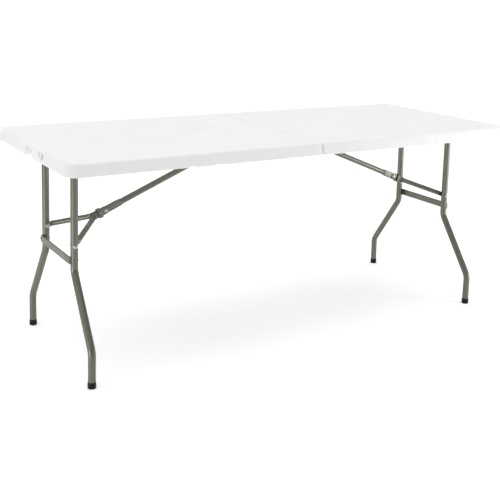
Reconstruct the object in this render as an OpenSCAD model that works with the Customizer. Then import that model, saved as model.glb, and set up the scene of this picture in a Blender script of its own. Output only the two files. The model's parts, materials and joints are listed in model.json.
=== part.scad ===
// Fold-in-half banquet table. Two hollow blow-moulded tops meet at a centre hinge,
// and each one carries a folding steel leg frame with a Y brace and a locking ring.
// Frame: origin on the floor under the middle of the table, +X along its length, +Z up.
// Every sub-part is drawn for the left half (x < 0), and the right half mirrors it.

/* [Table] */
// Length over both halves
table_length = 1829; // [1700:1:1900]
// Width across the table
table_width = 762; // [740:1:800]
// Height of the table surface above the floor
table_height = 755; // [735:1:762]
// Clear gap between the two halves at the seam
seam_gap = 0.6; // [0.4:0.1:1.5]

/* [Moulded top] */
// Depth of the rim that runs round each half
rim_depth = 42; // [41:1:46]
// Thickness of the double-walled panel inside the rim
panel_thickness = 13; // [12:1:13]
// Width of the hollow rim, measured along the underside
rim_width = 26; // [24:1:30]
// How far the top edge stands in from the foot of the rim
edge_inset = 16; // [12:1:18]
// Plan radius of the outer corners
corner_radius = 45; // [35:1:60]
// Plan radius of the corners beside the seam
seam_corner_radius = 9; // [8:1:12]
// Wall thickness of the moulding
skin = 2.2; // [2:0.1:2.6]
// Number of tack-off pits along one half
pit_columns = 7; // [3:1:9]
// Number of tack-off pits across one half
pit_rows = 6; // [3:1:8]
// Mouth radius of a tack-off pit
pit_radius = 15; // [10:1:20]

/* [Hand-hold and handle] */
// Width of the hand-hold in each end of the table
hand_hold_width = 78; // [70:1:100]
// Height of the hand-hold
hand_hold_height = 28; // [20:1:28]
// Distance between the two straps of the carry handle
handle_spacing = 95; // [80:1:120]
// Length of the handle from its pivot to the middle of its grip
handle_reach = 62; // [50:1:70]
// Width of a notch that a handle strap lies in
notch_width = 28; // [20:1:32]
// Depth of that notch
notch_depth = 3.4; // [3.2:0.1:4]

/* [Leg frames] */
// Distance from the middle of the table to the pivot of a leg frame
leg_pivot_x = 810; // [780:1:830]
// Outward lean of an opened leg frame, in degrees
leg_lean = 1.4; // [0:0.05:2]
// Outer diameter of the leg tube
leg_tube_d = 25.4; // [22:0.1:28]
// Wall of the leg, cross and brace tubes
tube_wall = 1; // [1:0.1:2]
// Half the distance between the upper leg tubes
leg_upper_y = 144; // [130:1:160]
// Half the distance between the feet
leg_foot_y = 305; // [280:1:310]
// Height of the upper bend
upper_bend_z = 346; // [320:1:360]
// Height of the lower bend
lower_bend_z = 121; // [100:1:130]
// Radius of both bends, at the middle of the tube
bend_radius = 52; // [45:1:90]
// Outer diameter of a foot cap
foot_d = 28; // [27:0.5:28]
// Height of a foot cap
foot_height = 22; // [18:1:30]
// Height of the crossbar between the legs
crossbar_z = 385; // [370:1:400]

/* [Braces] */
// Distance from the middle of the table to the upper brace pivot
brace_pivot_x = 100; // [90:1:130]
// Distance from the leg pivot down the leg to the brace bolt
brace_bolt_drop = 294; // [285:1:300]
// Outer diameter of the upper brace arm
arm_d = 21; // [19:0.5:22]
// Outer diameter of the two link arms
link_d = 18.5; // [15:0.5:19]

/* [Hidden] */

$fn = 48;
round_fn = 32;

// Colours
top_white = [0.93, 0.93, 0.92];
frame_grey = [0.46, 0.46, 0.42];
zinc = [0.74, 0.75, 0.76];
foot_black = [0.07, 0.07, 0.07];
nylon = [0.20, 0.20, 0.20];

// Levels and edges of the moulded top
half_x = table_length / 2;
half_y = table_width / 2;
seam_x = seam_gap / 2;
rim_z = table_height - rim_depth;
panel_z = table_height - panel_thickness;
seam_inset = 4;
draft_share = 0.45;
edge_round = 9;
void_floor = rim_z + 6;
pocket_depth = 3.5;
pocket_half_y = 19;
pivot_drop = 14.5;
pilot_depth = 1.6;
pit_margin_x = 120;
pit_margin_y = 110;
pocket_spare = 24;
latch_block_half = 36;
cup_straight = 36;
cup_r = 11;
rim_clear = 4;

// Pivots. The leg frame turns about A, the bolt B holds the links to the legs, the brace
// hangs from C, and D is the knee. The links fold back on the arm when the frame is flat,
// so arm - link = distance C to B folded, and arm + link = distance C to B opened.
pivot_z = panel_z - pivot_drop;
b_x = leg_pivot_x + brace_bolt_drop * sin(leg_lean);
b_z = pivot_z - brace_bolt_drop * cos(leg_lean);
open_reach = norm([b_x - brace_pivot_x, pivot_z - b_z]);
folded_reach = leg_pivot_x - brace_pivot_x - brace_bolt_drop;
arm_length = (open_reach + folded_reach) / 2;
link_length = (open_reach - folded_reach) / 2;
brace_slope = atan((pivot_z - b_z) / (b_x - brace_pivot_x));

// Steel sections and hardware
rail_y = 332;
rail_web = 1.6;
rail_flange = 20;
rail_drop = 24;
rail_start_x = 42;
rail_end_x = 868;
rail_screw_margin = 30;
rail_screw_count = 4;
cross_tube_d = 22;
bend_lap = 1;
bend_thinning = 0.12;
cross_half = 326;
pivot_pin_r = 5;
running_gap = 0.05;
bush_r = 6.6;
bush_flange_r = 9;
bush_flange = 1.6;
bush_stub = 1.5;
pin_plug = 16;
pin_end = 5;
crossbar_height = 27;
crossbar_thick = 6;
crossbar_half = leg_upper_y + 6;
crossbar_head_rise = 1.2;
bolt_r = 4;
paddle_thick = 8;
paddle_height = 26;
paddle_start = 28;
paddle_end = 50;
taper_end = 70;
knee_gap = 0.3;
link_plate = 3;
link_flat = 45;
link_height = 25;
link_tip = 18;
link_throat = 16;
link_start_y = 23;
link_finish_back = 29;
link_finish_in = 15;
link_tip_flat = 14;
hollow_end = 4;
knee_rivet_r = 4;
nut_gap = 0.5;
ring_at = 23;
ring_length = 13.5;
ring_wall = 2.4;
ring_travel = 310;
bracket_ear = 3;
bracket_half = 15;
bracket_base = 2;
bracket_reach = 24;
bracket_wing = 20;
bracket_screw_x = 16;
bracket_screw_out = 13;
ear_r = 9;
ear_half = 12;
brace_pin_r = 4;
eye_r = 8.5;
hinge_y = 290;
hinge_drop = 4.8;
hinge_z = rim_z - hinge_drop;
knuckle_r = 4.5;
hinge_pin_r = 2.5;
knuckle_length = 18;
knuckle_gap = 0.4;
leaf_thick = 2.4;
leaf_z = hinge_drop - leaf_thick;
leaf_reach = 25;
leaf_screw_bite = 4;
screw_r = 2;
screw_head_r = 4.4;
screw_head_rise = 1.8;
leaf_screw_y = 18;
leaf_screw_in = 9;

// Carry handle and latch
handle_x = half_x / 2;
handle_y = half_y - rim_width - 6;
handle_z = rim_z + 1.6;
strap_width = 16;
strap_thick = 3;
handle_pin_r = 2;
handle_eye_r = 3.8;
grip_r = 5.5;
clip_width = 9;
clip_side = 12;
clip_drop = 4.5;
latch_y = 118;
latch_z = rim_z + 21;
cup_depth = 9;
latch_shaft_r = 3;
knob_r = 8;
knob_turn = 35;
hook_thick = 2;
hook_gap = 0.4;
hook_reach = 34;
hook_width = 10;
hook_lip = 5;
hook_lip_depth = 8;
keeper_size = [12, 26, 20];
keeper_wall = 2;
keeper_cheek = 4;

// ---- helpers ----

// Draws its children at their own place for side -1, and mirrored to x > 0 for side 1
module half(side) {
    if (side > 0)
        mirror([1, 0, 0]) children();
    else
        children();
}

// Draws its children at y > 0 for side 1, and mirrored to y < 0 for side -1
module across(side) {
    if (side < 0)
        mirror([0, 1, 0]) children();
    else
        children();
}

// Cylinder along Y from y0 to y1
module rod_y(r, y0, y1) {
    translate([0, y0, 0])
        rotate([-90, 0, 0])
            cylinder(r = r, h = y1 - y0);
}

// Cylinder along X from x0 to x1
module rod_x(r, x0, x1) {
    translate([x0, 0, 0])
        rotate([0, 90, 0])
            cylinder(r = r, h = x1 - x0);
}

// Shallow dome whose flat side is at z = 0
module dome(r, rise) {
    ball = (r * r + rise * rise) / (2 * rise);
    rotate_extrude()
        intersection() {
            translate([0, rise - ball])
                circle(r = ball, $fn = 96);
            square([r, rise]);
        }
}

// Pan-head screw pointing up, its head under z = 0
module screw_up(length) {
    cylinder(r = screw_r, h = length);
    rotate([180, 0, 0])
        dome(screw_head_r, screw_head_rise);
}

// Slot with round ends, its straight sides along Y
module slot_plan(straight, r) {
    square([2 * r, straight], center = true);
    for (s = [-1, 1])
        translate([0, s * straight / 2])
            circle(r = r);
}

// Ring-shaped section of a tube, thinned a little on both faces where it laps another
module tube_section(d, thinned = 0) {
    difference() {
        circle(d = d - 2 * thinned);
        circle(d = d - 2 * tube_wall + 2 * thinned);
    }
}

// Leg frame's own place: the pivot at the origin, the legs pointing down
module leg_place() {
    translate([-leg_pivot_x, 0, pivot_z])
        rotate([0, leg_lean, 0])
            children();
}

// Brace's own place: the origin at pivot C, the arm pointing along -X down to the bolt
module brace_place() {
    translate([-brace_pivot_x, 0, pivot_z])
        rotate([0, -brace_slope, 0])
            children();
}

// Knee's own place: as brace_place, with the origin at D
module knee_place() {
    brace_place()
        translate([-arm_length, 0, 0])
            children();
}

// ---- moulded tops ----

// Points of a quarter circle about a centre, starting at an angle
function quarter(centre, r, start, steps) =
    [for (i = [0 : steps]) centre + r * [cos(start + 90 * i / steps), sin(start + 90 * i / steps)]];

// Plan of one half, inset by a distance on the three outer sides and by less at the seam
module half_outline(inset, at_seam) {
    r_out = max(corner_radius - inset, 4);
    r_seam = seam_corner_radius;
    outer = -half_x + inset + r_out;
    outer_y = half_y - inset - r_out;
    inner = -seam_x - at_seam - r_seam;
    inner_y = half_y - inset - r_seam;
    polygon(concat(quarter([inner, inner_y], r_seam, 0, 4),
                   quarter([outer, outer_y], r_out, 90, 10),
                   quarter([outer, -outer_y], r_out, 180, 10),
                   quarter([inner, -inner_y], r_seam, 270, 4)));
}

// One thin slice of the moulding's outer skin
module slice(z, inset, at_seam) {
    translate([0, 0, z])
        linear_extrude(height = 0.02)
            half_outline(inset, at_seam);
}

// Solid outer form: drafted sides and a rounded upper edge
module top_form() {
    drafted = edge_inset * draft_share;
    rounded = edge_inset - drafted;
    hull() {
        slice(rim_z, 2, 2);
        slice(rim_z + 2, 0, 0.6);
        slice(table_height - edge_round, drafted, 0);
        for (a = [30, 60, 90])
            slice(table_height - edge_round * (1 - sin(a)) - (a == 90 ? 0.02 : 0),
                  drafted + rounded * (1 - cos(a)), seam_inset * (1 - cos(a)));
    }
}

// Places of the tack-off pits on the underside of one half
module at_pits() {
    span_x = half_x - 2 * rim_width - pit_margin_x;
    span_y = table_width - 2 * rim_width - pit_margin_y;
    for (i = [0 : pit_columns - 1], j = [0 : pit_rows - 1])
        translate([-half_x / 2 + span_x * (i / (pit_columns - 1) - 0.5),
                   span_y * (j / (pit_rows - 1) - 0.5), panel_z])
            children();
}

// Sealed air space inside the panel and the rim
module top_void() {
    post_r = pit_radius + skin;
    difference() {
        union() {
            translate([0, 0, panel_z + skin])
                linear_extrude(height = panel_thickness - 2 * skin)
                    half_outline(edge_inset + skin + 1, seam_inset + skin + 1);
            translate([0, 0, void_floor])
                linear_extrude(height = panel_z + skin + 1 - void_floor)
                    difference() {
                        half_outline(edge_inset * draft_share + skin, skin + 1);
                        half_outline(rim_width - skin, rim_width - skin - 2);
                    }
        }
        at_pits()
            translate([0, 0, skin])
                cylinder(r = post_r, h = panel_thickness);
        translate([0, 0, skin])
            ring_pocket(skin);
        translate([-half_x, -hand_hold_width / 2 - skin, rim_z])
            cube([rim_width + 2, hand_hold_width + 2 * skin, hand_hold_height + skin]);
        translate([-half_x, -latch_y - latch_block_half, rim_z])
            cube([rim_width + 2, 2 * latch_block_half, rim_depth]);
    }
}

// Shallow pocket in the underside that the lock ring lies in when the frame is folded,
// grown on all sides by a margin
module ring_pocket(margin) {
    middle = brace_pivot_x + arm_length + ring_at - ring_travel;
    length = ring_length + pocket_spare + 2 * margin;
    width = 2 * (pocket_half_y + margin);
    translate([-middle - length / 2, -width / 2, panel_z - 1])
        cube([length, width, pocket_depth + 1]);
}

// Pilot holes in the underside for every screw that holds steel to the moulding
module pilot_holes() {
    for (s = [-1, 1])
        at_rail_screws(s)
            cylinder(r = screw_r, h = rail_web + pilot_depth);
    translate([-brace_pivot_x, 0, pivot_z])
        at_bracket_screws()
            cylinder(r = screw_r, h = bracket_base + pilot_depth);
    for (y = [-hinge_y, hinge_y])
        translate([0, y, hinge_z])
            at_leaf_screws()
                cylinder(r = screw_r, h = leaf_thick + leaf_screw_bite);
}

// Hand-hold through the end rim, open downward
module hand_hold() {
    w = hand_hold_width;
    h = hand_hold_height;
    translate([-half_x - 1, 0, rim_z - 1])
        rotate([90, 0, 90])
            linear_extrude(height = rim_width + rim_clear)
                polygon([[-w / 2, 0], [w / 2, 0], [w / 2 - 3, h - 5], [w / 2 - 8, h + 1],
                         [-w / 2 + 8, h + 1], [-w / 2 + 3, h - 5]]);
}

// Two notches in the front rim that the handle straps lie in
module strap_notches() {
    for (s = [-1, 1])
        translate([-handle_x + s * handle_spacing / 2 - notch_width / 2, -half_y - 1, rim_z - 1])
            cube([notch_width, rim_width + 2, notch_depth + 1]);
}

// Oval cup in the end wall and the bore of the latch shaft
module latch_cup() {
    translate([-half_x - 1, -latch_y, latch_z + 1])
        rotate([0, 90, 0])
            linear_extrude(height = cup_depth + 1)
                slot_plan(cup_straight, cup_r);
    translate([0, -latch_y, latch_z])
        rod_x(latch_shaft_r + running_gap, -half_x, -half_x + rim_width + rim_clear);
}

module moulded_top(with_latch) {
    color(top_white)
        difference() {
            top_form();
            translate([0, 0, rim_z - 1])
                linear_extrude(height = rim_depth - panel_thickness + 1)
                    half_outline(rim_width, rim_width - 2);
            top_void();
            at_pits()
                translate([0, 0, -0.01])
                    cylinder(r1 = pit_radius, r2 = pit_radius * 0.6,
                             h = panel_thickness - 2 * skin);
            ring_pocket(0);
            pilot_holes();
            hand_hold();
            strap_notches();
            if (with_latch)
                latch_cup();
        }
}

// ---- rails and brackets under the top ----

// Folded steel rail: a web that the leg pivot passes through and a flange under the panel
module side_rail(y_side) {
    length = rail_end_x - rail_start_x;
    color(frame_grey)
        difference() {
            across(y_side)
                translate([-rail_end_x, rail_y, 0])
                    union() {
                        translate([0, 0, panel_z - rail_drop])
                            cube([length, rail_web, rail_drop]);
                        translate([0, 0, panel_z - rail_web])
                            cube([length, rail_flange, rail_web]);
                    }
            translate([-leg_pivot_x, 0, pivot_z])
                rod_y(bush_r, y_side * rail_y - 4, y_side * rail_y + 4);
            at_rail_screws(y_side)
                cylinder(r = screw_r, h = 8, center = true);
        }
}

// Places of the screws in one rail
module at_rail_screws(y_side) {
    step = (rail_end_x - rail_start_x - 2 * rail_screw_margin) / (rail_screw_count - 1);
    for (i = [0 : rail_screw_count - 1])
        translate([-rail_end_x + rail_screw_margin + i * step,
                   y_side * (rail_y + rail_flange * 0.6), panel_z - rail_web])
            children();
}

module rail_screws() {
    color(zinc)
        for (s = [-1, 1])
            at_rail_screws(s)
                screw_up(rail_web + pilot_depth);
}

// Flanged bushes that the leg pivots turn in
module pivot_bushes() {
    color(nylon)
        for (s = [-1, 1])
            translate([-leg_pivot_x, 0, pivot_z])
                across(s)
                    difference() {
                        union() {
                            rod_y(bush_flange_r, rail_y - bush_flange, rail_y);
                            rod_y(bush_r, rail_y - bush_flange, rail_y + rail_web + bush_stub);
                        }
                        rod_y(pivot_pin_r + running_gap, rail_y - 5, rail_y + 8);
                    }
}

// Channel bracket that the upper brace arm hangs from
module brace_bracket() {
    color(frame_grey)
        translate([-brace_pivot_x, 0, pivot_z])
            difference() {
                union() {
                    translate([-bracket_reach, -bracket_half - bracket_wing,
                               pivot_drop - bracket_base])
                        cube([2 * bracket_reach, 2 * (bracket_half + bracket_wing), bracket_base]);
                    for (s = [-1, 1])
                        translate([0, s * (bracket_half + bracket_ear / 2), 0])
                            rotate([90, 0, 0])
                                translate([0, 0, -bracket_ear / 2])
                                    linear_extrude(height = bracket_ear)
                                        union() {
                                            circle(r = ear_r);
                                            translate([-ear_half, 0])
                                                square([2 * ear_half, pivot_drop - 1]);
                                        }
                }
                rod_y(brace_pin_r, -30, 30);
                at_bracket_screws()
                    cylinder(r = screw_r, h = 8, center = true);
            }
}

// Places of the bracket's four screws, from the bracket's pivot
module at_bracket_screws() {
    for (sx = [-1, 1], sy = [-1, 1])
        translate([sx * bracket_screw_x, sy * (bracket_half + bracket_screw_out),
                   pivot_drop - bracket_base])
            children();
}

module bracket_screws() {
    color(zinc)
        translate([-brace_pivot_x, 0, pivot_z])
            at_bracket_screws()
                screw_up(bracket_base + pilot_depth);
}

// Pin of the upper brace pivot, headed at both ends
module brace_pin() {
    reach = bracket_half + bracket_ear;
    color(zinc)
        translate([-brace_pivot_x, 0, pivot_z])
            union() {
                rod_y(brace_pin_r, -reach, reach);
                for (s = [-1, 1])
                    translate([0, s * reach, 0])
                        rotate([-90 * s, 0, 0])
                            dome(6.5, 2.2);
            }
}

// ---- centre hinges ----

// Two leaves of one half. The left half carries the outer knuckles of each hinge, and
// the right half the middle one.
module hinge_leaves(side) {
    step = knuckle_length + knuckle_gap;
    places = side < 0 ? [-step, step] : [0];
    color(frame_grey)
        for (y = [-hinge_y, hinge_y])
            translate([0, y, hinge_z])
                difference() {
                    union() {
                        for (p = places) {
                            rod_y_at(p, knuckle_r, knuckle_length);
                            translate([-knuckle_r - 3, p - knuckle_length / 2, leaf_z])
                                cube([knuckle_r + 3, knuckle_length, leaf_thick]);
                        }
                        translate([-leaf_reach, -1.5 * knuckle_length, leaf_z])
                            cube([leaf_reach - knuckle_r - 1, 3 * knuckle_length, leaf_thick]);
                    }
                    bore = side < 0 ? hinge_pin_r : hinge_pin_r + running_gap;
                    rod_y(bore, -40, 40);
                    at_leaf_screws()
                        cylinder(r = screw_r, h = 8, center = true);
                }
}

// Knuckle centred on y = p
module rod_y_at(p, r, length) {
    rod_y(r, p - length / 2, p + length / 2);
}

// Places of the screws in one leaf, from the hinge axis
module at_leaf_screws() {
    for (y = [-leaf_screw_y, leaf_screw_y])
        translate([-leaf_reach + leaf_screw_in, y, leaf_z])
            children();
}

module leaf_screws() {
    color(zinc)
        for (y = [-hinge_y, hinge_y])
            translate([0, y, hinge_z])
                at_leaf_screws()
                    screw_up(leaf_thick + leaf_screw_bite);
}

module hinge_pins() {
    reach = 1.5 * knuckle_length + knuckle_gap + 1;
    color(zinc)
        for (y = [-hinge_y, hinge_y])
            translate([0, y, hinge_z])
                rod_y(hinge_pin_r, -reach, reach);
}

// ---- leg frame ----

module cross_tube() {
    color(frame_grey)
        leg_place()
            translate([0, -cross_half, 0])
                rotate([-90, 0, 0])
                    linear_extrude(height = 2 * cross_half)
                        tube_section(cross_tube_d);
}

// Shouldered plugs in the ends of the cross tube, which turn in the bushes
module pivot_pins() {
    color(zinc)
        leg_place()
            for (s = [-1, 1])
                across(s)
                    union() {
                        rod_y(cross_tube_d / 2 - tube_wall, cross_half - pin_plug, cross_half);
                        rod_y(pivot_pin_r, cross_half, rail_y + rail_web + pin_end);
                    }
}

// Straight stretch of leg tube, in the YZ plane, from one point to another
module leg_run(from, to) {
    along = to - from;
    translate([0, from[0], from[1]])
        rotate([-atan2(along[0], along[1]), 0, 0])
            linear_extrude(height = norm(along))
                tube_section(leg_tube_d);
}

// Bend of the leg tube about a centre, from one angle in the YZ plane to another. Its ends
// lap into the straight runs.
module leg_bend(centre, from, to) {
    translate([0, centre[0], centre[1]])
        rotate([0, 90, 0])
            rotate([0, 0, from - bend_lap])
                rotate_extrude(angle = to - from + 2 * bend_lap)
                    translate([bend_radius, 0])
                        tube_section(leg_tube_d, bend_thinning);
}

// One leg: upright, splayed outward between its two bends, and upright again at the foot
module leg_tube(y_side) {
    upper = -(pivot_z - upper_bend_z);
    lower = -(pivot_z - lower_bend_z);
    floor_z = -pivot_z / cos(leg_lean) + 5;
    splay = atan((leg_foot_y - leg_upper_y) / (upper - lower));
    cut = bend_radius * tan(splay / 2);
    step = [sin(splay), -cos(splay)] * cut;
    a1 = [leg_upper_y, upper + cut];
    a2 = [leg_upper_y, upper] + step;
    b1 = [leg_foot_y, lower] - step;
    b2 = [leg_foot_y, lower - cut];
    color(frame_grey)
        leg_place()
            across(y_side)
                difference() {
                    union() {
                        leg_run([leg_upper_y, -5], a1);
                        leg_bend([leg_upper_y + bend_radius, a1[1]], 270, 270 + splay);
                        leg_run(a2, b1);
                        leg_bend([leg_foot_y - bend_radius, b2[1]], 90, 90 + splay);
                        leg_run(b2, [leg_foot_y, floor_z]);
                    }
                    rod_y(cross_tube_d / 2, leg_upper_y - 30, leg_upper_y + 30);
                    translate([0, 0, -brace_bolt_drop])
                        rod_y(bolt_r, leg_upper_y - 30, leg_upper_y + 30);
                    at_crossbar()
                        translate([0, leg_upper_y, 0])
                            rod_x(bolt_r - 1, -30, 30);
                }
}

// Height of the crossbar on the leg frame
module at_crossbar() {
    translate([0, 0, -(pivot_z - crossbar_z)])
        children();
}

// Flat-oval tube across the outer side of both legs
module crossbar() {
    flat = crossbar_height - crossbar_thick;
    color(frame_grey)
        leg_place()
            at_crossbar()
                translate([-(leg_tube_d + crossbar_thick) / 2, 0, 0])
                    difference() {
                        translate([0, crossbar_half, 0])
                            rotate([90, 0, 0])
                                linear_extrude(height = 2 * crossbar_half)
                                    difference() {
                                        slot_plan(flat, crossbar_thick / 2);
                                        slot_plan(flat, crossbar_thick / 2 - tube_wall);
                                    }
                        for (s = [-1, 1])
                            translate([0, s * leg_upper_y, 0])
                                rod_x(bolt_r - 1, -20, 20);
                    }
}

// Rivets that hold the crossbar to the legs
module crossbar_rivets() {
    outer = -leg_tube_d / 2 - crossbar_thick;
    color(frame_grey)
        leg_place()
            at_crossbar()
                for (s = [-1, 1])
                    translate([0, s * leg_upper_y, 0])
                        union() {
                            rod_x(bolt_r - 1, outer, leg_tube_d / 2);
                            translate([outer, 0, 0])
                                rotate([0, -90, 0])
                                    dome(4.5, crossbar_head_rise);
                            translate([leg_tube_d / 2, 0, 0])
                                rotate([0, 90, 0])
                                    dome(4.5, crossbar_head_rise);
                        }
}

// Bolts through the legs, domed outside and flush inside, where the brace links end
module leg_bolts() {
    outer = leg_upper_y + leg_tube_d / 2;
    color(zinc)
        leg_place()
            translate([0, 0, -brace_bolt_drop])
                for (s = [-1, 1])
                    across(s)
                        union() {
                            rod_y(bolt_r, leg_upper_y - leg_tube_d / 2, outer);
                            rod_y(8.2, outer, outer + 1.4);
                            translate([0, outer + 1.4, 0])
                                rotate([-90, 0, 0])
                                    dome(7, 3.6);
                        }
}

// Plastic cap over the foot of a leg, cut level with the floor
module foot_cap(y_side) {
    floor_z = -pivot_z / cos(leg_lean);
    lip = 1.5;
    color(foot_black)
        intersection() {
            leg_place()
                translate([0, y_side * leg_foot_y, floor_z - 2])
                    difference() {
                        union() {
                            cylinder(d = foot_d, h = foot_height + 2 - lip);
                            translate([0, 0, foot_height + 2 - lip])
                                cylinder(d1 = foot_d, d2 = foot_d - 2 * lip, h = lip);
                        }
                        translate([0, 0, 7])
                            cylinder(d = leg_tube_d, h = foot_height);
                    }
            translate([-half_x, -half_y, 0])
                cube([half_x, table_width, 100]);
        }
}

// ---- braces ----

// Upper arm: an eye at the top, a round tube, and a flattened paddle past the knee
module upper_arm() {
    tube_end = arm_length - taper_end;
    color(frame_grey)
        brace_place()
            difference() {
                union() {
                    rod_y(eye_r, -bracket_half + knee_gap, bracket_half - knee_gap);
                    rod_x(arm_d / 2, -tube_end, -3);
                    hull() {
                        translate([-arm_length + paddle_end - 1, -paddle_thick / 2,
                                   -paddle_height / 2])
                            cube([1, paddle_thick, paddle_height]);
                        rod_x(arm_d / 2, -tube_end - 0.5, -tube_end, $fn = round_fn);
                    }
                    translate([-arm_length, paddle_thick / 2, 0])
                        rotate([90, 0, 0])
                            linear_extrude(height = paddle_thick)
                                paddle_plan();
                }
                rod_x(arm_d / 2 - tube_wall, -tube_end, -14);
                rod_y(brace_pin_r + running_gap, -30, 30);
                translate([-arm_length, 0, 0])
                    rod_y(knee_rivet_r, -30, 30);
            }
}

// Outline of the paddle, from its rounded tail to the start of the tube
module paddle_plan() {
    r = 8;
    translate([-paddle_start + r, -paddle_height / 2])
        square([paddle_start + paddle_end - r, paddle_height]);
    for (s = [-1, 1])
        translate([-paddle_start + r, s * (paddle_height / 2 - r)])
            circle(r = r);
    translate([-paddle_start, -paddle_height / 2 + r])
        square([r, paddle_height - 2 * r]);
}

// Rivet of the knee, fast in the paddle, with a head on each link plate
module knee_rivet() {
    reach = paddle_thick / 2 + 2 * knee_gap + link_plate;
    color(zinc)
        knee_place()
            union() {
                rod_y(knee_rivet_r, -reach, reach);
                for (s = [-1, 1])
                    translate([0, s * reach, 0])
                        rotate([-90 * s, 0, 0])
                            dome(7, 2.4);
            }
}

// Flat end of a link: a plate with a round end about the origin, reaching along -X
module link_end(length, height) {
    rotate([90, 0, 0])
        linear_extrude(height = link_plate)
            union() {
                circle(d = height);
                translate([-length, -height / 2])
                    square([length, height]);
            }
}

// Slab just inside a link's plate, which its flattened stretch grows out of
module plate_root(height) {
    shy = 0.25;
    translate([0, shy, -height / 2 + shy])
        cube([0.5, link_plate - 2 * shy, height - 2 * shy]);
}

// Disc just inside the end of a link's tube, which its flattened stretch grows out of
module tube_root() {
    translate([0, 0, 1.5])
        cylinder(d = link_d - 0.8, h = 0.5, $fn = round_fn);
}

// One link arm, from the knee out to the inner face of a leg
module link_arm(y_side) {
    inner = paddle_thick / 2 + knee_gap;
    outer = leg_upper_y - leg_tube_d / 2 - nut_gap;
    start = [-link_flat - link_throat, link_start_y, 0];
    finish = [-link_length + link_finish_back, outer - link_finish_in, 0];
    turn = atan2(finish[1] - start[1], start[0] - finish[0]);
    color(frame_grey)
        knee_place()
            across(y_side)
                difference() {
                    union() {
                        translate([0, inner + link_plate, 0])
                            link_end(link_flat, link_height);
                        hull() {
                            translate([-link_flat + 1, inner, 0])
                                plate_root(link_height);
                            translate(start)
                                rotate([0, -90, -turn])
                                    tube_root();
                        }
                        translate(start)
                            rotate([0, -90, -turn])
                                cylinder(d = link_d, h = norm(finish - start));
                        hull() {
                            translate([-link_length + link_tip_flat - 2, outer - link_plate, 0])
                                plate_root(link_tip);
                            translate(finish)
                                rotate([0, 90, -turn])
                                    tube_root();
                        }
                        translate([-link_length, outer, 0])
                            rotate([0, 180, 0])
                                link_end(link_tip_flat, link_tip);
                    }
                    rod_y(knee_rivet_r + running_gap, inner - 2, inner + link_plate + 2);
                    translate(start)
                        rotate([0, -90, -turn])
                            translate([0, 0, hollow_end])
                                cylinder(d = link_d - 2 * tube_wall,
                                         h = norm(finish - start) - 2 * hollow_end);
                }
}

// Cap nuts on the inner side of the link ends
module link_nuts() {
    face = leg_upper_y - leg_tube_d / 2 - nut_gap - link_plate;
    color(zinc)
        knee_place()
            translate([-link_length, 0, 0])
                for (s = [-1, 1])
                    across(s)
                        union() {
                            rod_y(7.8, face - 1.2, face);
                            translate([0, face - 1.2, 0])
                                rotate([90, 0, 0])
                                    dome(6.4, 3.6);
                        }
}

// Rectangular ring that slides down over the knee and holds it straight
module lock_ring() {
    half_w = arm_d / 2 + 0.6;
    half_h = paddle_height / 2 + 0.8;
    color(frame_grey)
        knee_place()
            translate([-ring_at + ring_length / 2, 0, 0])
                rotate([0, -90, 0])
                    linear_extrude(height = ring_length)
                        difference() {
                            ring_plan(half_h + ring_wall, half_w + ring_wall, 4);
                            ring_plan(half_h, half_w, 1.5);
                        }
}

// Rounded rectangle given by its half sides
module ring_plan(half_h, half_w, r) {
    square([2 * half_h, 2 * (half_w - r)], center = true);
    square([2 * (half_h - r), 2 * half_w], center = true);
    for (sh = [-1, 1], sw = [-1, 1])
        translate([sh * (half_h - r), sw * (half_w - r)])
            circle(r = r);
}

// ---- carry handle ----

// Bail handle, folded inward under the rim: two straps, a grip, and a pin at each eye
module carry_handle() {
    out = handle_spacing / 2 + strap_width / 2;
    color(nylon)
        translate([-handle_x, -handle_y, handle_z])
            union() {
                for (s = [-1, 1])
                    half(s)
                        union() {
                            rod_x(handle_eye_r, -out, -out + strap_width);
                            rod_x(handle_pin_r, -out - clip_width + 2, -out);
                            translate([-out, 0, -strap_thick / 2])
                                cube([strap_width, handle_reach, strap_thick]);
                        }
                translate([0, handle_reach, 0])
                    rod_x(grip_r, -out, out);
            }
}

// Clips on the inner wall of the rim that the handle turns in
module handle_clips() {
    out = handle_spacing / 2 + strap_width / 2 + 0.4;
    color(nylon)
        translate([-handle_x, -handle_y, handle_z])
            for (s = [-1, 1])
                half(s)
                    difference() {
                        translate([-out - clip_width, -clip_side / 2, -clip_drop])
                            cube([clip_width, clip_side, clip_side]);
                        rod_x(handle_pin_r + running_gap, -out - clip_width - 2, -out + 2);
                    }
}

// ---- end latch ----

// Turn knob in the oval cup, with its shaft through the end wall
module latch_knob() {
    cup_floor = -half_x + cup_depth;
    color(top_white)
        translate([0, -latch_y, latch_z])
            union() {
                rod_x(knob_r, cup_floor - 2.5, cup_floor - 0.3);
                rod_x(latch_shaft_r, cup_floor - 1, -half_x + rim_width + 2.5);
                rotate([knob_turn, 0, 0])
                    translate([cup_floor - 5.5, -knob_r - 1, -2])
                        cube([4, 2 * knob_r + 2, 4]);
            }
}

// Hook plate on the inner end of the shaft, lying along the wall
module latch_hook() {
    inner_wall = -half_x + rim_width;
    color(zinc)
        translate([0, -latch_y, latch_z])
            difference() {
                union() {
                    rod_x(knob_r - 0.5, inner_wall + hook_gap, inner_wall + hook_gap + hook_thick);
                    translate([inner_wall + hook_gap, 0, -hook_width / 2])
                        cube([hook_thick, hook_reach, hook_width]);
                    translate([inner_wall + hook_gap, hook_reach - hook_lip, -hook_width / 2])
                        cube([hook_lip_depth, hook_lip, hook_width]);
                }
                rod_x(latch_shaft_r, inner_wall - 2, inner_wall + 4);
            }
}

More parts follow.
